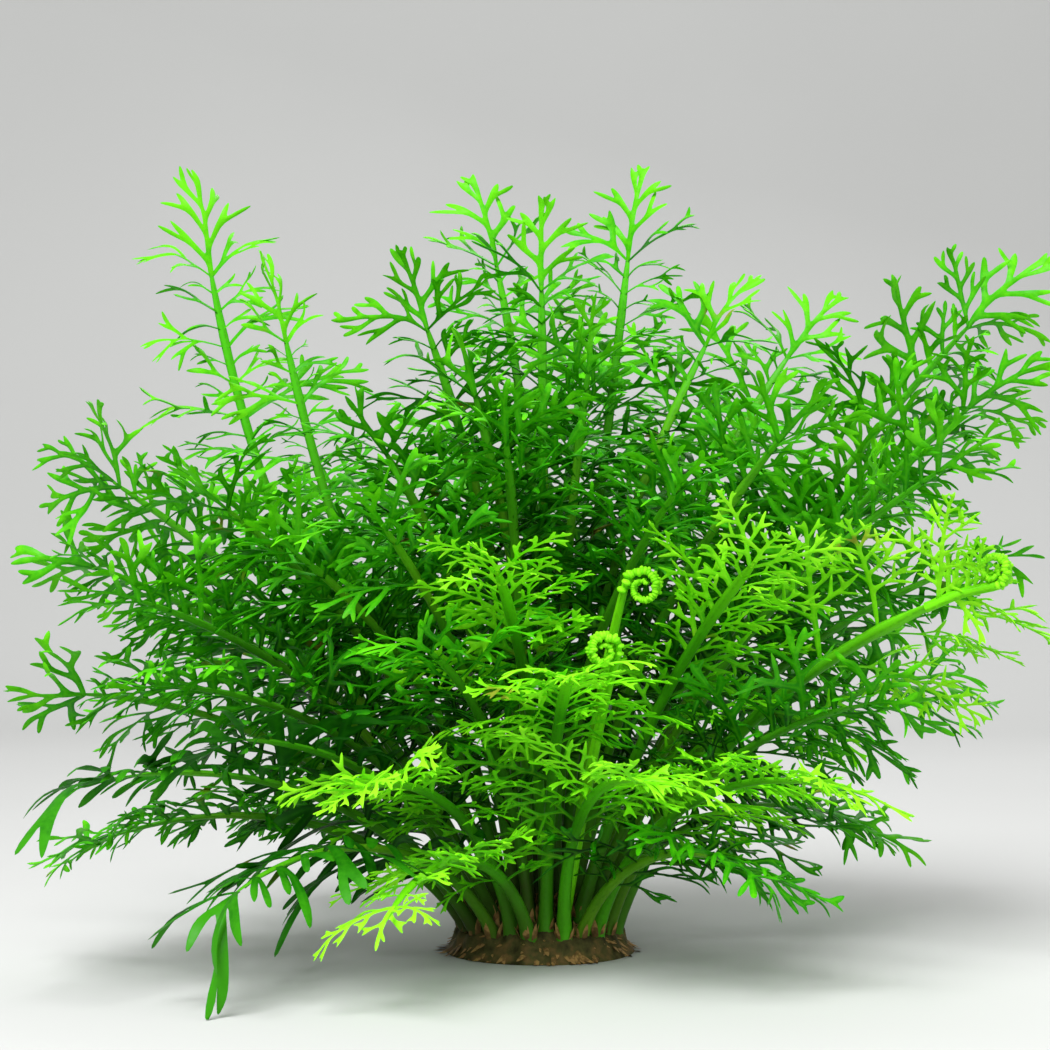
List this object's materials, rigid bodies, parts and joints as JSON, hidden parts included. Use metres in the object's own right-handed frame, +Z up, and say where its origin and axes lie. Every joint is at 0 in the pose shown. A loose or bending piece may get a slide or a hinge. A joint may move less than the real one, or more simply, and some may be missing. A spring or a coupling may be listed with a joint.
{
  "type": "water sprite",
  "caption": "Bushy rosette of finely divided fronds on upright stipes from one short crown, which stands on its flat cut underside.",
  "frame": {"origin": "middle of the crown's flat underside, where the plant was cut off at the ground", "axes": "+Z up from the cut through the fronds, +X along the plant's widest spread, -Y towards the side with the young bright fronds"},
  "size_m": [0.374, 0.298, 0.288],
  "materials": {
    "mature_leaf": "smooth satin plant tissue, mid green with yellow-green tips, a little translucent",
    "young_leaf": "smooth satin plant tissue, bright yellow-green, translucent",
    "broad_leaf": "smooth satin plant tissue, deep green",
    "rolled_frond": "smooth plant tissue, bright green, finely scaled",
    "crown": "fibrous matte plant tissue, brown-green"
  },
  "bodies": {
    "root": {"back_frond_1": "mature_leaf", "back_frond_10": "mature_leaf", "back_frond_11": "mature_leaf", "back_frond_2": "mature_leaf", "back_frond_3": "mature_leaf", "back_frond_4": "mature_leaf", "back_frond_5": "mature_leaf", "back_frond_6": "mature_leaf", "back_frond_7": "mature_leaf", "back_frond_8": "mature_leaf", "back_frond_9": "mature_leaf", "bright_frond_1": "young_leaf", "bright_frond_2": "young_leaf", "bright_frond_3": "young_leaf", "bright_frond_4": "young_leaf", "bright_frond_5": "young_leaf", "bright_frond_6": "young_leaf", "bright_frond_7": "young_leaf", "broad_frond_1": "broad_leaf", "broad_frond_2": "broad_leaf", "broad_frond_3": "broad_leaf", "crosier_1": "rolled_frond", "crosier_2": "rolled_frond", "crown": "crown", "great_young_frond_1": "young_leaf", "left_frond_1": "mature_leaf", "left_frond_2": "mature_leaf", "left_frond_3": "mature_leaf", "left_frond_4": "mature_leaf", "left_frond_5": "mature_leaf", "left_frond_6": "mature_leaf", "left_frond_7": "mature_leaf", "middle_frond_1": "mature_leaf", "middle_frond_10": "mature_leaf", "middle_frond_2": "mature_leaf", "middle_frond_3": "mature_leaf", "middle_frond_4": "mature_leaf", "middle_frond_5": "mature_leaf", "middle_frond_6": "mature_leaf", "middle_frond_7": "mature_leaf", "middle_frond_8": "mature_leaf", "middle_frond_9": "mature_leaf", "right_frond_1": "mature_leaf", "right_frond_2": "mature_leaf", "right_frond_3": "mature_leaf", "right_frond_4": "mature_leaf", "right_frond_5": "mature_leaf", "right_frond_6": "mature_leaf", "tall_frond_1": "mature_leaf", "tall_frond_2": "mature_leaf", "tall_frond_3": "mature_leaf", "tall_frond_4": "mature_leaf", "tall_frond_5": "mature_leaf", "tall_frond_6": "mature_leaf", "tall_frond_7": "mature_leaf", "tall_frond_8": "mature_leaf"}
  },
  "joints": []
}
